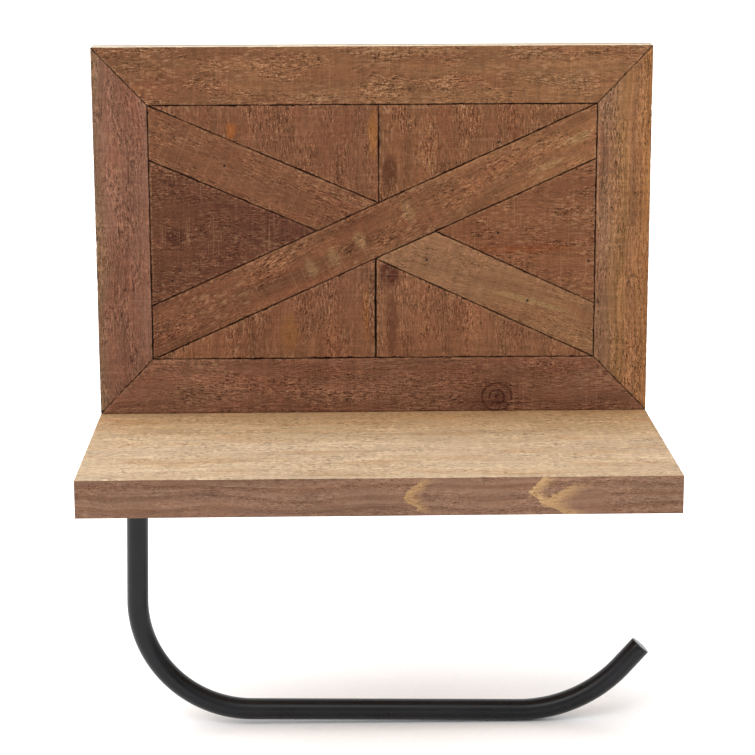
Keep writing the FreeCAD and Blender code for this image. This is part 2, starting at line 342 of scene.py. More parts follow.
@dataclass(frozen=True)
class SawnSoftwood:
    """Rough-sawn softwood under a thin wiped stain.

    The saw leaves the face furry, so the eye sees short dark furrows and pale torn fibres along the grain,
    faint marks across it, and growth rings that show as bands of tone with no shine. The furrows' shade and
    the raised fibres' highlight are painted into the colour as well, from the same height that drives the
    bump.

    Attributes:
        near, far: The stain's tone at the board's two ends, along its grain, as sRGB hex.
        warm: The redder tone that shows in bands.
        fuzz_and_highlight: The colour of torn fibre ends, also used for the painted highlight on the raised
            fibres.
        seed: Moves the patterns, so that no two boards match.
        half: Half the board's length, in mm.
        band: Width of the bands of tone, in mm.
        cloud: How much the bands change the tone.
        line: Spacing of the long grain lines, in mm.
        line_depth: How much the long grain lines change the tone.
        furrow: Width of the short furrows, in mm, drawn about twice as coarse as they are.
        crumb: Size of the crumbled grain between them, along and across the board, in mm.
        furrow_depth: How strongly the painted shade darkens the furrows, 0 to 1.
        contrast: How much the painted light and shade of the rough surface change the tone, as a share.
        calm: The share of that which the smoother areas keep.
        furrow_shade: What the painted shade on the furrows' floors multiplies the tone by, as sRGB hex.
        fleck: How much torn fibre shows, 0 to 1.
        saw: How much the crosswise saw marks change the tone.
        strips: Place, 0 to 1, and sRGB hex tone of the bands across the board, if they show.
        width: The board's width that the strips fill, in mm.
        pith: The middle of the growth rings, across and out of the board, in mm, where they show.
        ring: The rings' spacing, in mm.
        late: The late wood's tone, as sRGB hex.
        seam: The near-black tone of the painted shade in the gaps between boards, as sRGB hex.
        marks: What stands out in this board.
    """

    near: str
    far: str
    warm: str = "#7a4630"
    fuzz_and_highlight: str = "#b48a66"
    seed: float = 1.0
    half: float = 140.0
    band: float = 7.0
    cloud: float = 0.10
    line: float = 1.1
    line_depth: float = 0.12
    furrow: float = 0.62
    crumb: tuple[float, float] = (1.0, 0.5)
    furrow_depth: float = 0.45
    contrast: float = 0.95
    calm: float = 0.28
    furrow_shade: str = "#8a6655"
    fleck: float = 0.5
    saw: float = 0.10
    strips: tuple[tuple[float, str], ...] = ()
    width: float = 28.0
    pith: tuple[float, float] | None = None
    ring: float = 3.4
    late: str = "#5e3e2d"
    seam: str = "#1d0f0a"
    marks: tuple[Mark, ...] = ()

    def streaks(
        self, tree: NodeTree, grain: Node, length: float, width: float, offset: float, detail: float = 2.0
    ) -> Node:
        """Draws noise out along the grain.

        Args:
            tree: The material's nodes.
            grain: The board's own millimetres.
            length: A streak's length, in mm.
            width: A streak's width, in mm.
            offset: Sets this pattern apart from the others.
            detail: How much finer noise rides on it.

        Returns:
            The noise, about 0.5.
        """
        start = self.seed * 7.3 + offset
        drawn = add_node(
            tree,
            "Mapping",
            {"Vector": grain, "Location": (start, start * 0.6, start * 1.7),
             "Scale": (1 / length, 1 / width, 1 / width)},
        )
        return add_node(
            tree, "TexNoise", {"Vector": drawn, "Scale": 1.0, "Detail": detail, "Roughness": 0.55}
        )

    def bent_grain(self, tree: NodeTree, place: Placement) -> Node:
        """Lets the grain wander a couple of mm sideways over a hand's breadth.

        Args:
            tree: The material's nodes.
            place: The board's own axes.

        Returns:
            The board's own millimetres, with the wander.
        """
        local = place.coordinates(tree)
        drift = self.streaks(tree, local, 55.0, 26.0, 3.1, 1.0)
        centred = add_node(
            tree, "VectorMath",
            {"Vector": drift.outputs["Color"], "Vector_001": (0.5, 0.5, 0.5)}, operation="SUBTRACT",
        )
        sideways = add_node(
            tree, "VectorMath",
            {"Vector": centred, "Vector_001": (0.0, 9.0, 4.0)}, operation="MULTIPLY",
        )
        return add_node(tree, "VectorMath", {"Vector": local, "Vector_001": sideways}, operation="ADD")

    def from_spot(
        self, tree: NodeTree, place: Placement, spot: Vector, size: tuple[float, float, float]
    ) -> Node:
        """Gives the place on the board measured from a mark.

        Args:
            tree: The material's nodes.
            place: The board's own axes.
            spot: The mark's middle in the holder's frame, in metres.
            size: What counts as 1 along, across and out of the board, in mm.

        Returns:
            The place, in shares of that size.
        """
        middle = place.local(spot)
        return add_node(
            tree, "Mapping",
            {"Vector": place.coordinates(tree), "Location": (middle.x, middle.y, 0.0), "Scale": size},
            vector_type="TEXTURE",
        )

    def reach_of(
        self,
        tree: NodeTree,
        place: Placement,
        spot: Vector,
        size: tuple[float, float, float],
        ragged: Node,
        fray: float = 0.9,
    ) -> Node:
        """Gives 0 at a mark's middle and 1 at its edge, with the edge frayed along the grain.

        Args:
            tree: The material's nodes.
            place: The board's own axes.
            spot: The mark's middle in the holder's frame, in metres.
            size: The mark's half sizes, in mm.
            ragged: Noise about 0.5 that frays it.
            fray: How far the noise moves the edge, as a share of the size.

        Returns:
            The share of the way from middle to edge.
        """
        measured = self.from_spot(tree, place, spot, size)
        reach = add_node(tree, "VectorMath", {"Vector": measured}, operation="LENGTH")
        frayed = add_node(
            tree, "Math", {"Value": ragged, "Value_001": fray, "Value_002": -fray / 2},
            operation="MULTIPLY_ADD",
        )
        return add_node(
            tree, "Math", {"Value": reach.outputs["Value"], "Value_001": frayed}, operation="ADD"
        )

    def mark_cover(self, tree: NodeTree, place: Placement, mark: Mark, spot: Vector, ragged: Node) -> Node:
        """Works out how much of a mark's tone shows.

        Args:
            tree: The material's nodes.
            place: The board's own axes.
            mark: The mark.
            spot: Its middle in the holder's frame, in metres.
            ragged: Noise about 0.5 that frays it.

        Returns:
            The share, 0 to 1.
        """
        if isinstance(mark, Streak):
            reach = self.reach_of(tree, place, spot, (mark.length, mark.width, 400.0), ragged)
            return add_node(
                tree, "MapRange",
                {"Value": reach, "From Min": 1.0, "From Max": 0.45, "To Min": 0.0, "To Max": mark.strength},
                interpolation_type="SMOOTHSTEP",
            )
        if isinstance(mark, Knot):
            size = (mark.radius * 1.06, mark.radius, 400.0)
            reach = self.reach_of(tree, place, spot, size, ragged, 0.06)
            turns = add_node(
                tree, "Math",
                {"Value": reach, "Value_001": math.tau * mark.radius / mark.ring}, operation="MULTIPLY",
            )
            wave = add_node(tree, "Math", {"Value": turns}, operation="COSINE")
            crest, inside, heart, halo = (
                add_node(
                    tree, "MapRange",
                    {"Value": value, "From Min": low, "From Max": high, "To Min": 0.0, "To Max": top},
                    interpolation_type="SMOOTHSTEP",
                )
                for value, low, high, top in (
                    (wave, 0.1, 0.95, 0.8),
                    (reach, 1.25, 1.0, 1.0),
                    (reach, 0.3, 0.12, 0.9),
                    (reach, 1.9, 0.9, 0.28),
                )
            )
            cover = crest
            for how, other in (("MULTIPLY", inside), ("MAXIMUM", heart), ("MAXIMUM", halo)):
                cover = add_node(tree, "Math", {"Value": cover, "Value_001": other}, operation=how)
            return cover
        measured = add_node(
            tree, "SeparateXYZ", {"Vector": self.from_spot(tree, place, spot, (1.0, 1.0, 1.0))}
        )
        rounded = add_node(
            tree, "Math", {"Value": measured.outputs["Y"], "Value_001": measured.outputs["Y"],
                                     "Value_002": 0.8},
            operation="MULTIPLY_ADD",
        )
        away = add_node(tree, "Math", {"Value": rounded}, operation="SQRT")
        edge = add_node(tree, "Math", {"Value": away, "Value_001": mark.opening}, operation="MULTIPLY")
        wandering = add_node(
            tree, "Math", {"Value": ragged, "Value_001": 9.0, "Value_002": edge},
            operation="MULTIPLY_ADD",
        )
        past = add_node(
            tree, "Math", {"Value": measured.outputs["X"], "Value_001": wandering},
            operation="SUBTRACT",
        )
        begun, fading, near_point = (
            add_node(
                tree, "MapRange",
                {"Value": value, "From Min": low, "From Max": high, "To Min": 0.0, "To Max": top},
                interpolation_type="SMOOTHSTEP",
            )
            for value, low, high, top in (
                (past, -4.6, -3.8, 1.0), (past, mark.fade, -3.8, 1.0), (away, 9.5, 5.5, 0.9)
            )
        )
        shown = add_node(tree, "Math", {"Value": begun, "Value_001": fading}, operation="MULTIPLY")
        return add_node(tree, "Math", {"Value": shown, "Value_001": near_point}, operation="MULTIPLY")

    def marked(self, tree: NodeTree, place: Placement, colour: Node, node: str, face: ShowFace) -> Node:
        """Lays what stands out in the board over its colour, on the show face and just behind it.

        Args:
            tree: The material's nodes.
            place: The board's own axes.
            colour: The colour so far.
            node: The board's CAD node.
            face: The way the face with the marks looks.

        Returns:
            The colour with the marks on it.
        """
        if not self.marks:
            return colour
        local = place.coordinates(tree)
        ragged = self.streaks(tree, local, 14.0, 2.2, 51.0, 3.0)
        out = add_node(tree, "SeparateXYZ", {"Vector": local}).outputs["Z"]
        near_face = add_node(
            tree, "MapRange", {"Value": out, "From Min": -40.0, "From Max": -20.0},
            interpolation_type="SMOOTHSTEP",
        )
        for mark in self.marks:
            cover = self.mark_cover(tree, place, mark, mark.spot(node, face), ragged)
            cover = add_node(tree, "Math", {"Value": cover, "Value_001": near_face}, operation="MULTIPLY")
            colour = add_node(
                tree, "Mix", {"Factor": cover, "A": colour, "B": linear(mark.colour)},
                data_type="RGBA",
            )
        return colour

    def shaded(self, tree: NodeTree, colour: Node, pattern: Node, depth: float) -> Node:
        """Lightens and darkens a colour by a pattern.

        Args:
            tree: The material's nodes.
            colour: The colour.
            pattern: Noise about 0.5.
            depth: The most that it changes the colour by, as a share.

        Returns:
            The shaded colour.
        """
        shade = add_node(
            tree, "MapRange",
            {"Value": pattern, "From Min": 0.3, "From Max": 0.7, "To Min": 1 - depth, "To Max": 1 + depth},
        )
        return add_node(
            tree, "Mix", {"Factor": 1.0, "A": colour, "B": shade},
            data_type="RGBA", blend_type="MULTIPLY",
        )

    def growth_rings(self, tree: NodeTree, grain: Node, colour: Node) -> Node:
        """Darkens the late wood of each ring, which shows as arcs on the ends and lines on the sides.

        Args:
            tree: The material's nodes.
            grain: The board's own millimetres.
            colour: The colour so far.

        Returns:
            The colour with the rings on it.
        """
        across, out = self.pith
        centred = add_node(
            tree, "VectorMath", {"Vector": grain, "Vector_001": (0.0, across, out)},
            operation="SUBTRACT",
        )
        flat = add_node(
            tree, "VectorMath", {"Vector": centred, "Vector_001": (0.012, 1.0, 1.0)},
            operation="MULTIPLY",
        )
        reach = add_node(tree, "VectorMath", {"Vector": flat}, operation="LENGTH")
        rings = add_node(
            tree, "Math", {"Value": reach.outputs["Value"], "Value_001": self.ring},
            operation="DIVIDE",
        )
        within = add_node(tree, "Math", {"Value": rings}, operation="FRACT")
        rising, ending = (
            add_node(
                tree, "MapRange",
                {"Value": within, "From Min": low, "From Max": high, "To Min": 0.0, "To Max": top},
                interpolation_type="SMOOTHSTEP",
            )
            for low, high, top in ((0.35, 0.86, 1.0), (1.0, 0.92, 0.42))
        )
        late = add_node(tree, "Math", {"Value": rising, "Value_001": ending}, operation="MULTIPLY")
        return add_node(
            tree, "Mix", {"Factor": late, "A": colour, "B": linear(self.late)}, data_type="RGBA"
        )

    def grain_colour(self, tree: NodeTree, place: Placement, grain: Node) -> Node:
        """Colours the wood from end to end, with bands, grain lines and saw marks.

        Args:
            tree: The material's nodes.
            place: The board's own axes.
            grain: The board's own millimetres, with the grain's wander.

        Returns:
            The colour.
        """
        along = add_node(tree, "SeparateXYZ", {"Vector": place.coordinates(tree)})
        share = add_node(tree, "MapRange", {"Value": along, "From Min": -self.half, "From Max": self.half})
        colour = add_node(
            tree, "Mix",
            {"Factor": share, "A": linear(self.near), "B": linear(self.far)}, data_type="RGBA",
        )
        if self.strips:
            across = add_node(
                tree, "MapRange",
                {"Value": add_node(tree, "SeparateXYZ", {"Vector": grain}).outputs["Y"],
                 "From Min": -self.width / 2, "From Max": self.width / 2},
            )
            banded = add_node(tree, "ValToRGB", {"Fac": across}, list(self.strips))
            colour = add_node(
                tree, "Mix", {"Factor": 0.7, "A": colour, "B": banded.outputs["Color"]},
                data_type="RGBA",
            )
        if self.pith:
            colour = self.growth_rings(tree, grain, colour)
        reddened = add_node(
            tree, "MapRange",
            {"Value": self.streaks(tree, grain, 45.0, self.band * 1.4, 17.0, 3.0),
             "From Min": 0.48, "From Max": 0.72, "To Min": 0.0, "To Max": 0.45},
        )
        colour = add_node(
            tree, "Mix", {"Factor": reddened, "A": colour, "B": linear(self.warm)},
            data_type="RGBA",
        )
        for length, width, offset, depth in (
            (60.0, self.band, 11.0, self.cloud),
            (90.0, self.line, 23.0, self.line_depth),
            (1.7, 24.0, 41.0, self.saw),
            (11.0, 10.0, 47.0, self.cloud * 0.6),
        ):
            colour = self.shaded(tree, colour, self.streaks(tree, grain, length, width, offset), depth)
        return colour

    def build(self, name: str, place: Placement, node: str, face: ShowFace) -> Material:
        """Makes the board's material.

        Args:
            name: The material's name.
            place: The board's own axes.
            node: The CAD node whose box places the marks.
            face: The way the face with the marks looks.

        Returns:
            The material.
        """
        material = new_material(name)
        tree = material.node_tree
        grain = self.bent_grain(tree, place)
        colour = self.grain_colour(tree, place, grain)
        colour = self.marked(tree, place, colour, node, face)

        furrows = self.streaks(tree, grain, self.furrow * 5.5, self.furrow, 61.0, 3.0)
        crumbs = self.streaks(tree, grain, self.crumb[0], self.crumb[1], 67.0, 3.0)
        height = add_node(tree, "Mix", {"Factor": 0.5, "A": furrows, "B": crumbs}, data_type="FLOAT")
        where = self.streaks(tree, grain, 26.0, 9.0, 81.0, 3.0)
        # Painted light and shade of the sawn relief: the colour is lightened on the high fibres and darkened
        # in the furrows, by the same height that drives the bump.
        worked = self.shaded(tree, colour, height, self.contrast)
        sawn = self.streaks(tree, place.coordinates(tree), 0.8, 30.0, 43.0, 1.0)
        # The first two are painted shade in the furrows and a painted highlight on the raised fibres. The
        # last two mark the rough patches and the pale saw marks.
        furrow_shade_cover, fibre_highlight_cover, ploughed, sawn_pale = (
            add_node(
                tree, "MapRange",
                {"Value": value, "From Min": low, "From Max": high, "To Min": 0.0, "To Max": top},
                interpolation_type="SMOOTHSTEP",
            )
            for value, low, high, top in (
                (height, 0.45, 0.40, self.furrow_depth), (height, 0.55, 0.61, 0.34),
                (where, 0.40, 0.58, 1 - self.calm), (sawn, 0.64, 0.74, self.saw * 1.8),
            )
        )
        # Painted shade multiplied into the furrows, then the painted highlight laid on the raised fibres.
        worked = add_node(
            tree, "Mix", {"Factor": furrow_shade_cover, "A": worked, "B": linear(self.furrow_shade)},
            data_type="RGBA", blend_type="MULTIPLY",
        )
        worked = add_node(
            tree, "Mix", {"Factor": fibre_highlight_cover, "A": worked, "B": linear(self.fuzz_and_highlight)}, data_type="RGBA"
        )
        rough = add_node(tree, "Math", {"Value": ploughed, "Value_001": self.calm}, operation="ADD")
        colour = add_node(tree, "Mix", {"Factor": rough, "A": colour, "B": worked}, data_type="RGBA")
        level = add_node(
            tree, "Math", {"Value": where, "Value_001": 0.55, "Value_002": -0.27},
            operation="MULTIPLY_ADD",
        )
        furry = add_node(tree, "Math", {"Value": height, "Value_001": level}, operation="ADD")
        flecked = add_node(
            tree, "MapRange",
            {"Value": furry, "From Min": 0.70 - 0.13 * self.fleck, "From Max": 0.82 - 0.13 * self.fleck,
             "To Min": 0.0, "To Max": 0.75},
        )
        torn = add_node(tree, "Attribute", attribute_name="torn")
        frayed = add_node(
            tree, "Math",
            {"Value": torn.outputs["Fac"], "Value_001": 0.4, "Value_002": flecked},
            operation="MULTIPLY_ADD", use_clamp=True,
        )
        # Painted shade in the seams' gaps, read from the seam attribute.
        seam = add_node(tree, "Attribute", attribute_name="seam")
        darkened = add_node(
            tree, "Math", {"Value": seam.outputs["Fac"], "Value_001": 0.85},
            operation="MULTIPLY",
        )
        for cover, tone in ((sawn_pale, self.fuzz_and_highlight), (frayed, self.fuzz_and_highlight), (darkened, self.seam)):
            colour = add_node(
                tree, "Mix", {"Factor": cover, "A": colour, "B": linear(tone)}, data_type="RGBA"
            )
        relief = add_node(tree, "Bump", {"Height": height, "Strength": 1.0, "Distance": 2.0 * MM})
        shader = add_node(
            tree, "BsdfPrincipled",
            {"Base Color": colour, "Roughness": 0.9, "IOR": 1.5, "Specular IOR Level": 0.12,
             "Normal": relief},
        )
        return finish_material(material, shader)


@dataclass(frozen=True)
class Side:
    """One straight side of a board's outline, in the board's own millimetres.

    Attributes:
        start: The side's first corner.
        along: Its direction.
        length: Its length.
        number: Its place round the outline.
    """

    start: Vector
    along: Vector
    length: float
    number: int

    @property
    def inward(self) -> Vector:
        """The direction into the board."""
        return Vector((-self.along.y, self.along.x))

    def depth_of(self, point: Vector) -> float:
        """How far inside the side a point is."""
        return (point - self.start).dot(self.inward)

    def reach_of(self, point: Vector) -> float:
        """How far along the side a point is."""
        return (point - self.start).dot(self.along)


@dataclass
class SawnBoard:
    """One board of the panel, or the shelf, sawn from the outline of its CAD solid.

    Attributes:
        node: The CAD node that gives its outline.
        slot: The record's material slot; not used.
        wood: Its finish.
        face: The way its show face looks.
        grain: The grain's angle from level, in degrees, or None for the way of its longest side.
        step: The mesh's spacing on the show face.
        wall_steps: Depths of the loops down its sides.
        nails: Middles of the brads in it, in the holder's frame, in metres.
        chips: How ragged its arrises are.
        arris: How far the show face drops at its arrises.
        wall_wood: The finish of its sides, where they differ from the show face.
        thickness: Its thickness, read from the CAD node.
    """

    node: str
    slot: str
    wood: SawnSoftwood
    face: ShowFace = ShowFace.FRONT
    grain: float | None = None
    step: float = 0.7
    wall_steps: tuple[float, ...] = (0.35, 0.9, 2.0, 4.5)
    nails: tuple[Vector, ...] = ()
    chips: float = 1.0
    arris: float = 0.22
    wall_wood: SawnSoftwood | None = None
    thickness: float = field(init=False, default=0.0)

    def corners(self) -> list[Vector]:
        """Reads the board's thickness and its show face's corners from the CAD node.

        Returns:
            The corners, in metres.
        """
        low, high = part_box(self.node)
        points = [v.co.copy() for v in frame["nodes"][self.node].data.vertices]
        if self.face is ShowFace.FRONT:
            self.thickness = (high.y - low.y) / MM
            return [p for p in points if p.y < low.y + 0.1 * MM]
        self.thickness = (high.z - low.z) / MM
        return [p for p in points if p.z > high.z - 0.1 * MM]

    def outline(self, points: list[Vector]) -> list[Side]:
        """Joins a flat set of points into its convex outline.

        Args:
            points: The points, in the board's own millimetres.

        Returns:
            The outline's sides, anticlockwise.
        """
        flat = [Vector((p.x, p.y)) for p in points]
        loop = [flat[i] for i in geometry.convex_hull_2d(flat)]
        if sum(a.cross(b) for a, b in zip(loop, loop[1:] + loop[:1])) < 0:
            loop.reverse()
        kept = []
        for point in loop:
            if kept and (point - kept[-1]).length < 0.05:
                continue
            if len(kept) > 1 and abs((kept[-1] - kept[-2]).normalized().cross(point - kept[-1])) < 0.01:
                kept.pop()
            kept.append(point)
        return [
            Side(a, (b - a).normalized(), (b - a).length, number)
            for number, (a, b) in enumerate(zip(kept, kept[1:] + kept[:1]))
        ]

    def place(self) -> tuple[Placement, list[Side]]:
        """Finds where the board lies.

        Returns:
            The board's own axes, and its outline in them.
        """
        points = self.corners()
        middle = sum(points, Vector()) / len(points)
        level = Placement.of_face(self.face, middle, 0.0)
        sides = self.outline([level.local(p) for p in points])
        if self.grain is None:
            longest = max(sides, key=lambda side: side.length).along
            self.grain = math.degrees(math.atan2(longest.y, longest.x)) % 180
        placed = Placement.of_face(self.face, middle, self.grain)
        return placed, self.outline([placed.local(p) for p in points])

    def blank(self, sides: list[Side], outer: list[bool]) -> BMesh:
        """Saws the plain board: a fine grid trimmed to the outline, walls below it, and a flat back.

        Args:
            sides: The outline.
            outer: Which sides are on the holder's own outline, and so get the edges' finish.

        Returns:
            The board, in its own millimetres.
        """
        us = [side.start.x for side in sides]
        vs = [side.start.y for side in sides]
        length, width = max(us) - min(us), max(vs) - min(vs)
        middle = Matrix.Translation(((max(us) + min(us)) / 2, (max(vs) + min(vs)) / 2, 0))
        bm = bmesh.new()
        bmesh.ops.create_grid(
            bm,
            x_segments=math.ceil(length / self.step),
            y_segments=math.ceil(width / self.step),
            size=1.0,
            matrix=middle @ Matrix.Diagonal((length / 2, width / 2, 1, 1)),
        )
        for side in sides:
            for inset, trims in ((0.0, True), (0.35, False)):
                bmesh.ops.bisect_plane(
                    bm,
                    geom=bm.verts[:] + bm.edges[:] + bm.faces[:],
                    dist=0.001,
                    plane_co=(side.start + side.inward * inset).to_3d(),
                    plane_no=-side.inward.to_3d(),
                    clear_outer=trims,
                )
        bmesh.ops.remove_doubles(bm, verts=bm.verts[:], dist=0.02)
        rim = [e for e in bm.edges if e.is_boundary]
        above = 0.0
        for below in self.wall_steps + (self.thickness,):
            walls = bmesh.ops.extrude_edge_only(bm, edges=rim)["geom"]
            lowered = [g for g in walls if isinstance(g, BMVert)]
            bmesh.ops.translate(bm, verts=lowered, vec=(0, 0, above - below))
            for wall in (g for g in walls if isinstance(g, BMFace)):
                middle_of = wall.calc_center_median().to_2d()
                depths = [side.depth_of(middle_of) for side in sides]
                wall.material_index = int(self.wall_wood is not None and outer[depths.index(min(depths))])
            rim = [g for g in walls if isinstance(g, BMEdge) and g.is_boundary]
            above = below
        bmesh.ops.edgeloop_fill(bm, edges=rim)
        bmesh.ops.recalc_face_normals(bm, faces=bm.faces[:])
        return bm

    def is_outer(self, side: Side, placed: Placement) -> bool:
        """Whether a side lies on the holder's own outline, which chips and torn fibres never cross.

        Args:
            side: The side.
            placed: The board's own axes.

        Returns:
            True on the outline, and for every side of the shelf.
        """
        middle = placed.matrix() @ (side.start + side.along * side.length / 2).to_3d()
        if self.face is ShowFace.TOP:
            return True
        low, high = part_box("backing_board")
        gaps = (middle.x - low.x, high.x - middle.x, middle.z - low.z, high.z - middle.z)
        return min(gaps) < 0.1 * MM

    def raggedness(self, side: Side, reach: float, depth: float, outer: bool) -> float:
        """How far an arris or wall is set in, in mm.

        Args:
            side: The side it is on.
            reach: The place along the side.
            depth: The depth below the show face.
            outer: Whether the side is the holder's own outline.

        Returns:
            The set-in. Sides cut across the grain are more jagged than sides sawn along it, and the
            boards inside the panel close up on each other in places.
        """
        start = self.wood.seed * 3.7 + side.number * 9.1
        across = abs(side.along.y)
        fading = math.exp(-depth / ARRIS_FADE)
        wave = WAVE_DEPTH * noise.noise(Vector((reach / WAVE_LENGTH, start, 0.0)))
        jag_depth = JAG_DEPTH + JAG_DEPTH_ACROSS * across
        jag = jag_depth * noise.noise(Vector((reach / JAG_LENGTH, start, 3.0))) * fading
        chip_length = CHIP_LENGTH - CHIP_LENGTH_ACROSS * across
        chip = max(0.0, noise.noise(Vector((reach / chip_length, start, 7.0))) - CHIP_FROM)
        if outer:
            ragged = max(0.0, OUTER_SET_IN + wave * OUTER_WAVE + jag)
        else:
            ragged = max(SEAM_CLOSEST, SEAM_SET_IN + wave + jag)
        return ragged + chip * (CHIP_DEPTH + CHIP_DEPTH_ACROSS * across) * self.chips * fading

    def relief(self, u: float, v: float) -> tuple[float, float]:
        """How the saw left the show face at one place.

        Args:
            u: The place along the grain.
            v: The place across it.

        Returns:
            How far the face is cut in, in mm, and how torn it is, 0 to 1.
        """
        start = self.wood.seed * 5.3
        saw = SAW_DEPTH * noise.noise(Vector((u / SAW_PITCH, v / SAW_RUN, start)))
        furrow = FURROW_DEPTH * noise.noise(Vector((u / FURROW_RUN, v / FURROW_PITCH, start + 4.0)))
        rough = max(0.0, noise.noise(Vector((u / FURROW_RUN, v / ROUGH_WIDTH, start + 8.0))) + 0.15)
        tear = max(0.0, noise.noise(Vector((u / TEAR_RUN, v / TEAR_WIDTH, start + 12.0))) - TEAR_FROM)
        torn = min(1.0, tear * rough * TEAR_GAIN * (0.3 + self.wood.fleck))
        return FACE_DROP + saw + furrow + TEAR_DEPTH * torn, torn

    def roughen(self, bm: BMesh, sides: list[Side], outer: list[bool], placed: Placement) -> None:
        """Sculpts the plain board: ragged arrises, saw marks, torn grain and sunk nails.

        Args:
            bm: The plain board, in its own millimetres, which is changed.
            sides: The outline.
            outer: Which sides are on the holder's own outline.
            placed: The board's own axes.
        """
        nails = [placed.local(n) for n in self.nails]
        torn_layer = bm.verts.layers.float.new("torn")
        seam_layer = bm.verts.layers.float.new("seam")
        for vert in bm.verts:
            point = vert.co.to_2d()
            depth = -vert.co.z
            depths = [side.depth_of(point) for side in sides]
            nearest = min(depths)
            facing_in = not outer[depths.index(nearest)]
            # Painted shade in the gaps between boards: walls deeper than 1.5 mm go fully dark, and the rest
            # is mottled by noise.
            if facing_in and nearest < SEAM_SHADE_REACH:
                gap_shade = 0.45 + 1.2 * noise.noise(Vector((point.x / 3.1, point.y / 3.1, self.wood.seed)))
                gap_shade += 0.3 if depth > 0.3 else 0.0
                vert[seam_layer] = 1.0 if depth > 1.5 else min(1.0, max(0.0, gap_shade))
            shift = Vector((0.0, 0.0))
            for side, inside, free in zip(sides, depths, outer):
                if inside < WORKED_EDGE:
                    set_in = self.raggedness(side, side.reach_of(point), depth, free)
                    shift += side.inward * set_in * (1 - max(inside, 0.0) / WORKED_EDGE) ** 2
            for side, free in zip(sides, outer):
                past = side.depth_of(point + shift)
                if free and past < 0.0:
                    shift -= side.inward * past
            drop = 0.0
            if depth < TOP_LAYER:
                drop, vert[torn_layer] = self.relief(point.x, point.y)
                drop = max(0.0, drop)
                if facing_in and RIM < nearest < SEAM_FUZZ:
                    fibre = noise.noise(Vector((point.x / 1.2, point.y / 1.2, self.wood.seed + 20.0)))
                    vert[torn_layer] = max(vert[torn_layer], min(1.0, max(0.0, fibre - 0.12) * 4.0))
                if nearest < ARRIS_WIDTH:
                    drop += self.arris * (1 - nearest / ARRIS_WIDTH) ** 2
                for nail in nails:
                    away = (point - nail.to_2d()).length
                    if away < NAIL_FLARE:
                        wall = max(0.0, away - NAIL_HOLE) / (NAIL_FLARE - NAIL_HOLE)
                        drop = max(drop, NAIL_SINK * (1 - wall))
                if nearest < RIM:
                    drop = min(drop, RIM_DROP)
            vert.co += Vector((shift.x, shift.y, -drop))

    def build(self) -> Object:
        """Makes the board.

        Returns:
            The finished object, which stands for its CAD node.
        """
        placed, sides = self.place()
        outer = [self.is_outer(side, placed) for side in sides]
        bm = self.blank(sides, outer)
        self.roughen(bm, sides, outer, placed)
        bm.transform(placed.matrix())
        board = new_piece(bm, self.node + "_sawn", math.radians(50))
        board.data.materials.append(
            self.wood.build(f"stained_sawn_softwood_{self.node}", placed, self.node, self.face)
        )
        if self.wall_wood:
            walls = placed
            if self.face is ShowFace.TOP:
                low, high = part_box(self.node)
                front = Vector(((low.x + high.x) / 2, low.y, (low.z + high.z) / 2))
                walls = Placement.of_face(ShowFace.FRONT, front, 0.0)
            board.data.materials.append(
                self.wall_wood.build(f"sawn_softwood_{self.node}_edges", walls, self.node, ShowFace.FRONT)
            )
        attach(board, BODY)
        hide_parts(self.node)
        return board


def new_piece(bm: BMesh, name: str, crease: float) -> Object:
    """Turns a finished bmesh into an object.

    Args:
        bm: The mesh, in metres. It is freed.
        name: The object's name.
        crease: Edges that turn by more than this many radians stay sharp.

    Returns:
        The object.
    """
    mesh = bpy.data.meshes.new(name)
    bm.to_mesh(mesh)
    bm.free()
    mesh.shade_smooth()
    mesh.set_sharp_from_angle(angle=crease)
    piece = bpy.data.objects.new(name, mesh)
    bpy.context.scene.collection.objects.link(piece)
    return piece


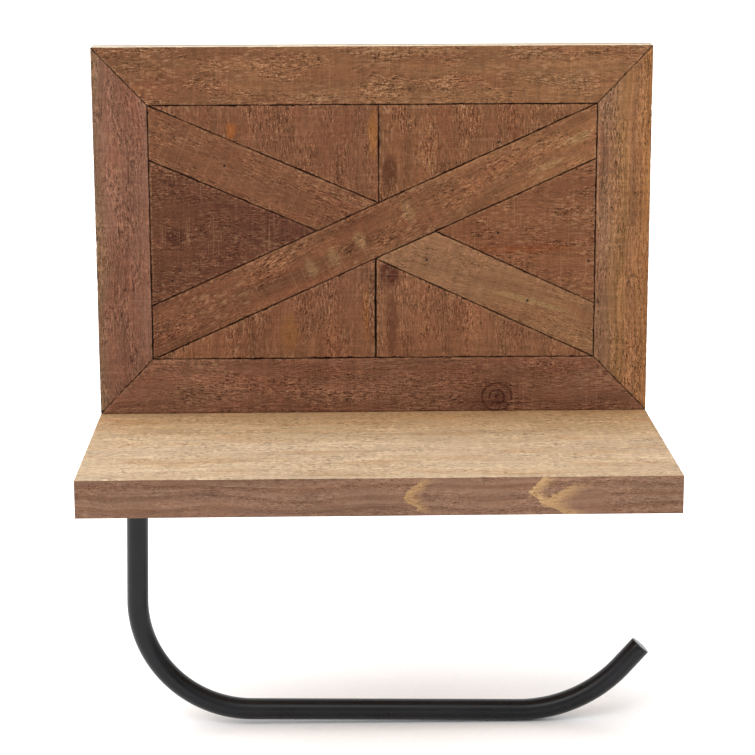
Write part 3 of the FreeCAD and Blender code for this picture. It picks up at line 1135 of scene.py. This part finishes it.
@dataclass
class BarnDoorPanel:
    """The panel: four mitred frame boards, an X brace and six infill boards, nailed with brads."""

    def woods(self) -> dict[str, SawnSoftwood]:
        """Gives each board's finish, with the knots, resin and sapwood that show in it.

        Returns:
            The finishes, by CAD node.
        """
        return {
            "top_rail": SawnSoftwood("#744e35", "#845d3e", seed=1.0, fleck=0.85, cloud=0.13),
            "bottom_rail": SawnSoftwood(
                "#825943", "#7e553f", seed=2.0, fleck=0.45, cloud=0.15,
                marks=(Knot(0.726, 0.26, 7.4, 3.6, "#3d1911"), Streak(0.69, 0.16, 24.0, 5.0, "#55291d", 0.4)),
            ),
            "left_stile": SawnSoftwood(
                "#77513f", "#7c5746", seed=3.0, fleck=0.3, line_depth=0.18,
                strips=((0.1, "#875f4d"), (0.45, "#754e3d"), (0.75, "#835c49"), (1.0, "#7a6248")),
            ),
            "right_stile": SawnSoftwood(
                "#8a5d3c", "#8a6042", seed=4.0, fleck=0.4, line_depth=0.30, line=1.5,
                strips=((0.0, "#946538"), (0.3, "#8a5f40"), (0.5, "#906840"), (0.8, "#806049")),
            ),
            "long_brace": SawnSoftwood(
                "#704833", "#805739", seed=5.0, fleck=0.4, cloud=0.22,
                marks=(
                    Streak(0.96, 0.87, 11.0, 3.0, "#93754e", 0.55),
                    Streak(0.89, 0.76, 12.0, 2.2, "#8f704b", 0.5),
                    *(Streak(skip, skip, 3.8, 7.5, "#8d6e4c", 0.5) for skip in (0.36, 0.41, 0.47, 0.58)),
                ),
            ),
            "upper_half_brace": SawnSoftwood("#754d35", "#734b33", seed=6.0, half=65.0, fleck=0.4),
            "lower_half_brace": SawnSoftwood(
                "#8a6344", "#896347", seed=7.0, half=65.0, fleck=0.2,
                marks=(Streak(0.71, 0.44, 24.0, 1.9, "#9c7d54", 0.6),), contrast=0.5,
            ),
            "infill_top_left": SawnSoftwood(
                "#734b34", "#734b34", seed=8.0, half=25.0, fleck=0.3,
                marks=(
                    Streak(0.353, 0.742, 5.6, 3.6, "#925526", 0.7),
                    Streak(0.98, 0.70, 15.0, 3.0, "#8f5c30", 0.85),
                ),
            ),
            "infill_top_right": SawnSoftwood(
                "#744c32", "#795136", seed=9.0, half=25.0, fleck=0.6, cloud=0.15,
                marks=(Streak(0.0, 0.7, 15.0, 1.3, "#33190f", 0.9), Streak(0.05, 0.3, 12.0, 5.0, "#4c2a1c")),
            ),
            "infill_left": SawnSoftwood(
                "#633e2b", "#5f3a2b", seed=10.0, half=40.0, fleck=0.3, warm="#573024",
                marks=(Knot(0.151, 0.48, 3.4, 1.7, "#32160f"),),
            ),
            "infill_right": SawnSoftwood(
                "#754b32", "#7a5036", seed=11.0, half=40.0, fleck=0.5,
                marks=(Streak(0.57, 0.38, 32.0, 2.4, "#7d4322", 0.5),),
            ),
            "infill_bottom_left": SawnSoftwood(
                "#82573c", "#7b523b", seed=12.0, half=25.0, fleck=0.5, cloud=0.14,
                marks=(
                    Streak(0.61, 0.25, 14.0, 6.0, "#8a5a30", 0.5),
                    Streak(0.96, 0.45, 22.0, 1.8, "#8d5a30", 0.6),
                ),
            ),
            "infill_bottom_right": SawnSoftwood(
                "#845a3f", "#835a40", seed=13.0, half=25.0, fleck=0.3, cloud=0.14,
                marks=(
                    Streak(0.06, 0.86, 9.0, 7.0, "#48211a", 0.8),
                    Streak(0.07, 0.35, 22.0, 3.5, "#643b2b"),
                ),
            ),
        }

    def slot_of(self, node: str) -> str:
        """Names the record's slot for a board.

        Args:
            node: The board's CAD node.

        Returns:
            The slot's name.
        """
        if "brace" in node:
            return "brace_wood"
        return "infill_wood" if "infill" in node else "frame_wood"

    def grain_of(self, node: str) -> float | None:
        """Gives a board's grain angle.

        Args:
            node: The board's CAD node.

        Returns:
            Degrees from level: level beside the X, upright above and below it, else None for its length.
        """
        if "infill" not in node:
            return None
        return 0.0 if node in ("infill_left", "infill_right") else 90.0

    def brad_heads(self) -> tuple[Vector, ...]:
        """Finds each brad from the loose parts of the CAD node's mesh.

        Returns:
            The brads' middles, in the holder's frame, in metres.
        """
        bm = bmesh.new()
        bm.from_mesh(frame["nodes"]["face_brads"].data)
        bmesh.ops.remove_doubles(bm, verts=bm.verts[:], dist=0.01 * MM)
        left, middles = set(bm.verts), []
        while left:
            group, front = set(), [left.pop()]
            while front:
                vert = front.pop()
                group.add(vert)
                beyond = {e.other_vert(vert) for e in vert.link_edges} & left
                left -= beyond
                front.extend(beyond)
            middles.append(sum((v.co for v in group), Vector()) / len(group))
        bm.free()
        return tuple(middles)

    def build(self) -> list[Object]:
        """Makes every board of the panel, and the brads.

        Returns:
            The boards, then the brads.
        """
        nails = self.brad_heads()
        # All of the frame boards' outer edges are pale cream. This is pale cut wood, and on the top edge it
        # is also a painted highlight for the strong light from above.
        cream_edge_wood = SawnSoftwood(
            "#dbd1bc", "#d6cab3", warm="#bb9d74", fuzz_and_highlight="#e6dac2", seed=30.0, furrow_depth=0.35, contrast=0.45,
            pith=(46.0, -34.0), ring=2.6, late="#a98960",
        )
        made = [
            SawnBoard(
                node, self.slot_of(node), wood, grain=self.grain_of(node), nails=nails,
                wall_wood=cream_edge_wood if self.slot_of(node) == "frame_wood" else None,
            ).build()
            for node, wood in self.woods().items()
        ]
        dark_wire = DarkenedWire().build()
        made.append(eased_copy("face_brads", dark_wire, 0.0))
        return made


@dataclass
class Shelf:
    """The thick shelf board under the panel.

    Attributes:
        step: The mesh's spacing on its top and down its edges, in mm.
        first_loop: The depth of the first loop down its edges, in mm.
        loops: How many loops go down its edges.
    """

    step: float = 0.95
    first_loop: float = 0.35
    loops: int = 19

    def build(self) -> list[Object]:
        """Makes the shelf board: paler on top than down its browner front, and darker towards the back of the
        top, by the panel.

        Returns:
            The board alone.
        """
        top = SawnSoftwood(
            "#b1987b", "#967859", warm="#9e6f40", fuzz_and_highlight="#c6aa82", seed=21.0, band=6.0, fleck=0.35,
            furrow=0.65, crumb=(1.8, 0.6), furrow_depth=0.5, contrast=0.85, calm=0.4, saw=0.05,
            furrow_shade="#bf9468", cloud=0.06, width=147.0,
            # Across the top, the strips run from pale at the front edge to dark brown at the back, by the
            # panel.
            strips=(
                (0.0, "#c0a98d"), (0.28, "#ae8f6a"), (0.52, "#956a3e"), (0.75, "#997750"), (1.0, "#74533a"),
            ),
        )
        front = SawnSoftwood(
            "#836350", "#876753", warm="#80573f", fuzz_and_highlight="#ab8a6e", seed=22.0, band=4.0, fleck=0.2, saw=0.02,
            furrow=0.6, furrow_depth=0.4, contrast=0.42, furrow_shade="#a58069",
            pith=(-58.0, -66.0),
            marks=(
                Flame(0.535, 0.52, 1.1, 4.5, "#ac875d"),
                Flame(0.745, 0.62, 0.9, 5.0, "#b9966a"),
                Flame(0.765, 0.34, 1.7, 9.0, "#b08c62"),
            ),
        )
        walls = tuple(self.first_loop + self.step * i for i in range(self.loops))
        board = SawnBoard(
            "shelf_board", "shelf_wood", top, ShowFace.TOP, 0.0, self.step, walls, chips=0.4,
            arris=0.12, wall_wood=front,
        )
        return [board.build()]


@dataclass(frozen=True)
class PowderCoat:
    """Satin black powder coat on steel, sprayed and baked.

    The eye sees a near-black with a soft, broad highlight and a very fine orange-peel.

    Attributes:
        deep, worn: The coat's tone, and its slightly greyer tone where it is thin, as sRGB hex.
        peel: Width of the orange-peel's bumps, in mm.
    """

    deep: str = "#0b0b0e"
    worn: str = "#141418"
    peel: float = 0.9

    def build(self) -> Material:
        """Makes the material.

        Returns:
            The material.
        """
        material = new_material("satin_black_powder_coat_on_steel")
        tree = material.node_tree
        spot = add_node(tree, "TexCoord")
        peel = add_node(
            tree, "TexNoise",
            {"Vector": spot.outputs["Object"], "Scale": 1 / (self.peel * MM), "Detail": 2.0},
        )
        wear = add_node(
            tree, "TexNoise",
            {"Vector": spot.outputs["Object"], "Scale": 1 / (14.0 * MM), "Detail": 4.0},
        )
        tone = add_node(tree, "ValToRGB", {"Fac": wear}, [(0.35, self.deep), (0.7, self.worn)])
        gloss = add_node(
            tree, "MapRange",
            {"Value": wear, "From Min": 0.3, "From Max": 0.7, "To Min": 0.25, "To Max": 0.33},
        )
        relief = add_node(tree, "Bump", {"Height": peel, "Strength": 0.25, "Distance": 0.04 * MM})
        shader = add_node(
            tree, "BsdfPrincipled",
            {"Base Color": tone, "Roughness": gloss, "IOR": 1.5, "Specular IOR Level": 0.26,
             "Normal": relief},
        )
        return finish_material(material, shader)


@dataclass(frozen=True)
class ZincPlate:
    """Bright zinc plate on stamped or cold-headed steel.

    The eye sees a cool grey metal with a faint patchy bloom and fine drawing lines.

    Attributes:
        tone, bloom: The plate's tone, and its tone where it has bloomed, as sRGB hex.
    """

    tone: str = "#9b9fa3"
    bloom: str = "#8f9186"

    def build(self) -> Material:
        """Makes the material.

        Returns:
            The material.
        """
        material = new_material("bright_zinc_plated_steel")
        tree = material.node_tree
        spot = add_node(tree, "TexCoord")
        patchy = add_node(
            tree, "TexNoise",
            {"Vector": spot.outputs["Object"], "Scale": 1 / (5.0 * MM), "Detail": 4.0},
        )
        drawn = add_node(
            tree, "Mapping", {"Vector": spot.outputs["Object"], "Scale": (4000.0, 4000.0, 160.0)}
        )
        lines = add_node(tree, "TexNoise", {"Vector": drawn, "Scale": 1.0, "Detail": 2.0})
        colour = add_node(tree, "ValToRGB", {"Fac": patchy}, [(0.35, self.tone), (0.7, self.bloom)])
        gloss = add_node(
            tree, "MapRange",
            {"Value": patchy, "From Min": 0.3, "From Max": 0.7, "To Min": 0.28, "To Max": 0.45},
        )
        relief = add_node(tree, "Bump", {"Height": lines, "Strength": 0.3, "Distance": 0.03 * MM})
        shader = add_node(
            tree, "BsdfPrincipled",
            {"Base Color": colour, "Metallic": 1.0, "Roughness": gloss, "Normal": relief},
        )
        return finish_material(material, shader)


@dataclass(frozen=True)
class DarkenedWire:
    """Bare steel brads, drawn, cut and darkened by the stain.

    The eye sees almost black dots with a dull metal core.
    """

    def build(self) -> Material:
        """Makes the material.

        Returns:
            The material.
        """
        material = new_material("stain_darkened_steel_wire")
        tree = material.node_tree
        spot = add_node(tree, "TexCoord")
        mottle = add_node(
            tree, "TexNoise",
            {"Vector": spot.outputs["Object"], "Scale": 1 / (0.5 * MM), "Detail": 3.0},
        )
        tone = add_node(tree, "ValToRGB", {"Fac": mottle}, [(0.3, "#17100c"), (0.7, "#35271f")])
        relief = add_node(tree, "Bump", {"Height": mottle, "Strength": 0.5, "Distance": 0.1 * MM})
        shader = add_node(
            tree, "BsdfPrincipled",
            {"Base Color": tone, "Metallic": 0.5, "Roughness": 0.7, "Normal": relief},
        )
        return finish_material(material, shader)


@dataclass(frozen=True)
class Plywood:
    """Thin plywood, peeled, glued and sanded.

    The eye sees a smooth pale veneer with fine grain and small dark pores on the back, and pale and
    brown plies with dark glue lines along the edges.

    Attributes:
        veneer, crossed, glue: The tones of the faces, the crossed plies and the glue, as sRGB hex.
        ply: One ply's thickness, in mm.
    """

    veneer: str = "#a88a66"
    crossed: str = "#7f5f41"
    glue: str = "#4a3222"
    ply: float = 1.0

    def build(self) -> Material:
        """Makes the material.

        Returns:
            The material.
        """
        material = new_material("sanded_plywood")
        tree = material.node_tree
        spot = add_node(tree, "TexCoord")
        depth = add_node(tree, "SeparateXYZ", {"Vector": spot.outputs["Object"]})
        plies = add_node(
            tree, "Math",
            {"Value": depth.outputs["Y"], "Value_001": 1 / (self.ply * MM), "Value_002": 0.02},
            operation="MULTIPLY_ADD",
        )
        count = add_node(tree, "Math", {"Value": plies}, operation="FLOOR")
        turn = add_node(tree, "Math", {"Value": count, "Value_001": 2.0}, operation="PINGPONG")
        is_crossed = add_node(
            tree, "Math", {"Value": turn, "Value_001": 1.0, "Value_002": 0.3}, operation="COMPARE"
        )
        streaks = []
        for scale in ((16.0, 900.0, 700.0), (60.0, 700.0, 2200.0)):
            drawn = add_node(tree, "Mapping", {"Vector": spot.outputs["Object"], "Scale": scale})
            streaks.append(add_node(tree, "TexNoise", {"Vector": drawn, "Scale": 1.0, "Detail": 3.0}))
        broad = add_node(tree, "Mapping", {"Vector": spot.outputs["Object"], "Scale": (7.0, 60.0, 48.0)})
        figure = add_node(tree, "TexNoise", {"Vector": broad, "Scale": 1.0, "Detail": 4.0})
        colour = add_node(
            tree, "Mix",
            {"Factor": is_crossed, "A": linear(self.veneer), "B": linear(self.crossed)}, data_type="RGBA",
        )
        for pattern, depth_of in ((figure, 0.12), (streaks[0], 0.20), (streaks[1], 0.24)):
            shade = add_node(
                tree, "MapRange",
                {"Value": pattern, "From Min": 0.3, "From Max": 0.7,
                 "To Min": 1 - depth_of, "To Max": 1 + depth_of},
            )
            colour = add_node(
                tree, "Mix", {"Factor": 1.0, "A": colour, "B": shade},
                data_type="RGBA", blend_type="MULTIPLY",
            )
        within = add_node(tree, "Math", {"Value": plies}, operation="FRACT")
        off_middle = add_node(tree, "Math", {"Value": within, "Value_001": 0.5}, operation="SUBTRACT")
        outward = add_node(tree, "Math", {"Value": off_middle}, operation="ABSOLUTE")
        glued = add_node(
            tree, "MapRange",
            {"Value": outward, "From Min": 0.40, "From Max": 0.47, "To Min": 0.0, "To Max": 0.6},
        )
        inner = add_node(
            tree, "Math", {"Value": depth.outputs["Y"], "Value_001": -0.3 * MM},
            operation="LESS_THAN",
        )
        line = add_node(tree, "Math", {"Value": glued, "Value_001": inner}, operation="MULTIPLY")
        colour = add_node(
            tree, "Mix", {"Factor": line, "A": colour, "B": linear(self.glue)}, data_type="RGBA"
        )
        relief = add_node(tree, "Bump", {"Height": streaks[1], "Strength": 0.4, "Distance": 0.08 * MM})
        shader = add_node(
            tree, "BsdfPrincipled",
            {"Base Color": colour, "Roughness": 0.62, "IOR": 1.5, "Specular IOR Level": 0.35,
             "Normal": relief},
        )
        return finish_material(material, shader)


def eased_copy(node: str, material: Material, ease: float, crease: float = 35.0) -> Object:
    """Copies a CAD node, merges its mesh and eases its arrises.

    Args:
        node: The CAD node, which the copy then stands for.
        material: Its finish.
        ease: The width of the eased arris, in mm, or 0 for none.
        crease: Arrises that turn by more than this many degrees are eased.

    Returns:
        The new piece.
    """
    bm = bmesh.new()
    bm.from_mesh(frame["nodes"][node].data)
    bmesh.ops.remove_doubles(bm, verts=bm.verts[:], dist=0.002 * MM)
    bmesh.ops.dissolve_limit(
        bm, angle_limit=math.radians(1.0), verts=bm.verts[:], edges=bm.edges[:], use_dissolve_boundaries=False
    )
    if ease:
        sharp = [
            e for e in bm.edges if len(e.link_faces) == 2 and e.calc_face_angle(0.0) > math.radians(crease)
        ]
        bmesh.ops.bevel(
            bm, geom=sharp, offset=ease * MM, offset_type="OFFSET", segments=2, profile=0.5,
            affect="EDGES", material=-1, clamp_overlap=True,
        )
    bm.normal_update()
    piece = new_piece(bm, node + "_eased", math.radians(crease))
    for polygon in piece.data.polygons:
        polygon.use_smooth = polygon.area < (4.0 * MM) ** 2
    piece.data.materials.clear()
    piece.data.materials.append(material)
    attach(piece, BODY)
    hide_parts(node)
    return piece


@dataclass
class RollBar:
    """The bent steel bar that carries the roll, with its plate, weld and screws.

    Attributes:
        bend_radius, bend_turn: The main bend between the leg and the straight.
        curl_radius, curl_turn: The rise at the free end.
        tail: The straight past the curl.
        facets: Faces round the bar.
        tip_round: The rounding of the free end's edge.
    """

    bend_radius: float = 56.7
    bend_turn: float = 90.43
    curl_radius: float = 67.7
    curl_turn: float = 49.35
    tail: float = 14.2
    facets: int = 64
    tip_round: float = 0.6

    def run_on(self, bm: BMesh, ring: list[BMEdge], way: Vector, steps: int) -> list[BMEdge]:
        """Pushes the open ring straight on.

        Args:
            bm: The bar so far.
            ring: Its open end.
            way: How far and which way to go, in metres.
            steps: How many loops to make on the way.

        Returns:
            The ring at the new end.
        """
        for _ in range(steps):
            made = bmesh.ops.extrude_edge_only(bm, edges=ring)["geom"]
            moved = [g for g in made if isinstance(g, BMVert)]
            bmesh.ops.translate(bm, verts=moved, vec=way / steps)
            ring = [g for g in made if isinstance(g, BMEdge) and g.is_boundary]
        return ring

    def bend(self, bm: BMesh, ring: list[BMEdge], centre: Vector, turn: float) -> list[BMEdge]:
        """Turns the open ring about a centre, upwards towards +X.

        Args:
            bm: The bar so far.
            ring: Its open end.
            centre: The bend's centre, in metres.
            turn: How far it turns, in degrees.

        Returns:
            The ring at the new end.
        """
        made = bmesh.ops.spin(
            bm, geom=ring, cent=centre, axis=(0, -1, 0), angle=math.radians(turn),
            steps=math.ceil(turn / 1.6), use_duplicate=False,
        )["geom_last"]
        return [g for g in made if isinstance(g, BMEdge)]

    def build(self) -> list[Object]:
        """Makes the bar and dresses its plate, weld and screws.

        Returns:
            The bar, then the plate, the weld and the screws.
        """
        mounts = {m["name"]: m for m in frame["record"]["mounts"]}
        straight = mounts["roll_bar"]
        radius = straight["dims"]["r_mm"] * MM
        length = straight["dims"]["length_mm"] * MM
        heading = Vector(straight["axis"]).normalized()
        start = Vector(straight["pos_m"]) - heading * length / 2
        rise = Vector((-heading.z, 0, heading.x))
        centre = start + rise * self.bend_radius * MM
        unbend = Matrix.Rotation(math.radians(self.bend_turn), 3, (0, 1, 0))
        leg_way = unbend @ heading
        leg_end = centre + unbend @ (start - centre)
        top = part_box("roll_bar")[1].z
        leg_top = leg_end - leg_way * ((top - leg_end.z) / -leg_way.z)

        bm = bmesh.new()
        facing = leg_way.to_track_quat("Z", "Y").to_matrix().to_4x4()
        bmesh.ops.create_circle(
            bm, segments=self.facets, radius=radius, matrix=Matrix.Translation(leg_top) @ facing
        )
        ring = self.run_on(bm, bm.edges[:], leg_end - leg_top, 12)
        first = [e for e in bm.edges if e.is_boundary and e not in ring]
        ring = self.bend(bm, ring, centre, self.bend_turn)
        ring = self.run_on(bm, ring, heading * length, 24)
        end = start + heading * length
        ring = self.bend(bm, ring, end + rise * self.curl_radius * MM, self.curl_turn)
        uncurl = Matrix.Rotation(-math.radians(self.curl_turn), 3, (0, 1, 0))
        ring = self.run_on(bm, ring, uncurl @ heading * self.tail * MM, 4)
        bmesh.ops.edgeloop_fill(bm, edges=first)
        bmesh.ops.edgeloop_fill(bm, edges=ring)
        bmesh.ops.bevel(
            bm, geom=ring, offset=self.tip_round * MM, segments=3, profile=0.5, affect="EDGES",
            material=-1, offset_type="OFFSET",
        )
        bmesh.ops.recalc_face_normals(bm, faces=bm.faces[:])
        coat = PowderCoat().build()
        bar = new_piece(bm, "roll_bar_bent", math.radians(40))
        bar.data.materials.append(coat)
        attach(bar, BODY)
        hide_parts("roll_bar")
        return [
            bar,
            eased_copy("bar_plate", coat, 0.5),
            eased_copy("weld_bead", coat, 0.0),
            eased_copy("plate_screws", coat, 0.12),
        ]


@dataclass
class Back:
    """What holds the holder together and on the wall: the plywood, the keyhole plates and the screws."""

    def build(self) -> list[Object]:
        """Dresses each piece.

        Returns:
            The plywood, the two plates, and both sets of screws.
        """
        zinc = ZincPlate().build()
        made = [eased_copy("backing_board", Plywood().build(), 0.0)]
        for node, ease in (
            ("keyhole_plate_left", 0.2),
            ("keyhole_plate_right", 0.2),
            ("keyhole_screws", 0.1),
            ("shelf_screws", 0.12),
        ):
            made.append(eased_copy(node, zinc, ease))
        return made


@dataclass
class PaleStudio:
    """A pale floor with soft light from above and all round, and the camera in front.

    Attributes:
        eye: The camera's place, in mm.
        lens: Its focal length on a 36 mm sensor.
        yaw, pitch, roll: Its aim, in degrees; pitch is downwards.
        bright_side: The way to the tent's brightest part.
        sky_low, sky_high: The tent's strength at its dimmest and brightest.
        key, key_spread, key_way: The key light's strength, its width in degrees, and the way it shines.
        floor_reach: How far out the floor goes, in metres, so that its edge stays out of sight.
    """

    eye: tuple[float, float, float] = (-23.21, -1173.38, 135.87)
    lens: float = 110.42
    yaw: float = 1.244
    pitch: float = 12.383
    roll: float = -0.186
    bright_side: tuple[float, float, float] = (-0.35, 0.45, 0.8)
    sky_low: float = 0.25
    sky_high: float = 1.25
    key: float = 2.6
    key_spread: float = 65.0
    key_way: tuple[float, float, float] = (0.35, 0.30, -1.0)
    floor_reach: float = 100.0

    def floor(self) -> Object:
        """Lays the floor just under the bar.

        Returns:
            The floor.
        """
        bm = bmesh.new()
        height = CAD_BOX[0].z - 0.2 * MM
        bmesh.ops.create_grid(
            bm, x_segments=4, y_segments=4, size=self.floor_reach, matrix=Matrix.Translation((0, 0, height))
        )
        ground = new_piece(bm, "pale_floor", 0.5)
        material = new_material("matt_white_paper_floor")
        tree = material.node_tree
        spot = add_node(tree, "TexCoord")
        tooth = add_node(tree, "TexNoise", {"Vector": spot.outputs["Object"], "Scale": 1 / (1.5 * MM)})
        tone = add_node(tree, "ValToRGB", {"Fac": tooth}, [(0.3, "#f4f3f3"), (0.7, "#f8f7f8")])
        shader = add_node(
            tree, "BsdfPrincipled",
            {"Base Color": tone, "Roughness": 1.0, "Specular IOR Level": 0.0},
        )
        ground.data.materials.append(finish_material(material, shader))
        return ground

    def lights(self) -> None:
        """Lights the room: a white tent, brightest above and behind on the left, and a broad soft key."""
        world = bpy.data.worlds.new("white_tent")
        world.use_nodes = True
        tree = world.node_tree
        tree.nodes.clear()
        way = add_node(tree, "TexCoord")
        toward = add_node(
            tree, "VectorMath",
            {"Vector": way.outputs["Generated"], "Vector_001": Vector(self.bright_side).normalized()},
            operation="DOT_PRODUCT",
        )
        level = add_node(
            tree, "MapRange",
            {"Value": toward.outputs["Value"], "From Min": -0.75, "From Max": 0.45,
             "To Min": self.sky_low, "To Max": self.sky_high},
            interpolation_type="SMOOTHSTEP",
        )
        glow = add_node(tree, "Background", {"Color": (1, 1, 1, 1), "Strength": level})
        add_node(tree, "OutputWorld", {"Surface": glow})
        bpy.context.scene.world = world
        lamp = bpy.data.lights.new("soft_key", "SUN")
        lamp.energy = self.key
        lamp.angle = math.radians(self.key_spread)
        key = bpy.data.objects.new("soft_key", lamp)
        key.rotation_euler = Vector(self.key_way).to_track_quat("-Z", "Y").to_euler()
        bpy.context.scene.collection.objects.link(key)

    def camera(self) -> Object:
        """Sets the camera.

        Returns:
            The camera.
        """
        yaw, pitch, roll = (math.radians(a) for a in (self.yaw, self.pitch, self.roll))
        ahead = Vector((math.sin(yaw) * math.cos(pitch), math.cos(yaw) * math.cos(pitch), -math.sin(pitch)))
        level = Vector((math.cos(yaw), -math.sin(yaw), 0))
        upright = level.cross(ahead)
        right = level * math.cos(roll) + upright * math.sin(roll)
        up = upright * math.cos(roll) - level * math.sin(roll)
        data = bpy.data.cameras.new("camera")
        data.lens = self.lens
        data.sensor_width = 36.0
        data.clip_end = 3 * self.floor_reach
        eye = bpy.data.objects.new("camera", data)
        turned = Matrix((right, up, -ahead)).transposed().to_4x4()
        eye.matrix_world = Matrix.Translation(Vector(self.eye) * MM) @ turned
        bpy.context.scene.collection.objects.link(eye)
        bpy.context.scene.camera = eye
        return eye

    def build(self) -> None:
        """Sets up the studio."""
        self.floor()
        self.lights()
        self.camera()
        bpy.context.scene.view_settings.view_transform = "Standard"


def main() -> None:
    """Builds the holder, sub-assembly by sub-assembly, and reports each piece."""
    logging.basicConfig(level=logging.INFO, format="%(name)s: %(message)s")
    PaleStudio().build()
    for assembly in (BarnDoorPanel(), Shelf(), RollBar(), Back()):
        for piece in assembly.build():
            LOG.info("%s: %d faces", piece.name, len(piece.data.polygons))


if __name__ == "__main__":
    main()
